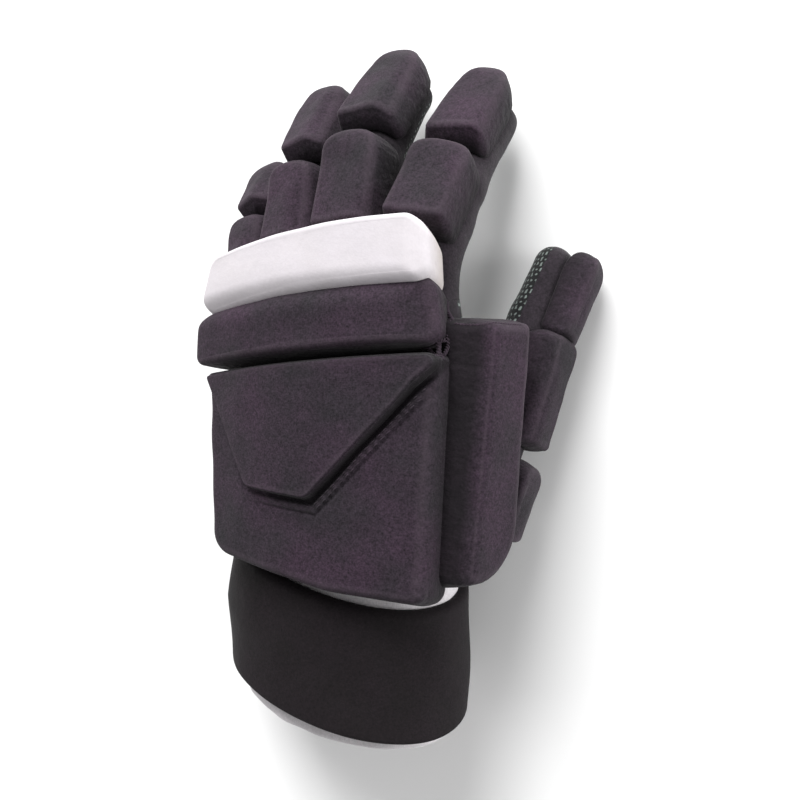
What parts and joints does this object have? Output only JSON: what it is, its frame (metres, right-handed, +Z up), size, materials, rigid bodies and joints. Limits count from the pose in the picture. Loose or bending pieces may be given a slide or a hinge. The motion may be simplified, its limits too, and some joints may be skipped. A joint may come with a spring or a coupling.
{
  "type": "field hockey glove",
  "caption": "Padded left-hand field hockey glove with dark foam blocks, a white knuckle bar and a wrist strap, lying palm down",
  "frame": {"origin": "on the surface it lies on, under the middle of its outline", "axes": "+Y from the wrist to the fingertips, +X to the thumb side, +Z up, out of the back of the hand"},
  "size_m": [0.1408, 0.2544, 0.0825],
  "materials": {
    "pad_fabric": "charcoal stretch knit over foam, matt, with an aubergine tint",
    "white_leather": "white synthetic leather, satin",
    "sleeve_fabric": "dark grey stretch mesh, matt",
    "cuff_fabric": "white elastic fabric, matt",
    "strap_fabric": "brownish black laminated neoprene, matt"
  },
  "bodies": {
    "root": {"palm_and_back": "sleeve_fabric", "index_sleeve": "sleeve_fabric", "middle_sleeve": "sleeve_fabric", "ring_sleeve": "sleeve_fabric", "little_sleeve": "sleeve_fabric", "thumb_sleeve": "sleeve_fabric", "index_middle_pad": "pad_fabric", "index_tip_pad": "pad_fabric", "middle_middle_pad": "pad_fabric", "middle_tip_pad": "pad_fabric", "ring_middle_pad": "pad_fabric", "ring_tip_pad": "pad_fabric", "little_middle_pad": "pad_fabric", "little_tip_pad": "pad_fabric", "thumb_base_pad": "pad_fabric", "thumb_lower_pad": "pad_fabric", "thumb_tip_pad": "pad_fabric", "back_pad": "pad_fabric", "shield_pad": "pad_fabric", "dark_knuckle_bar": "pad_fabric", "white_knuckle_bar": "white_leather", "thumb_side_pad": "pad_fabric", "cuff": "cuff_fabric", "wrist_strap": "strap_fabric"}
  },
  "joints": []
}
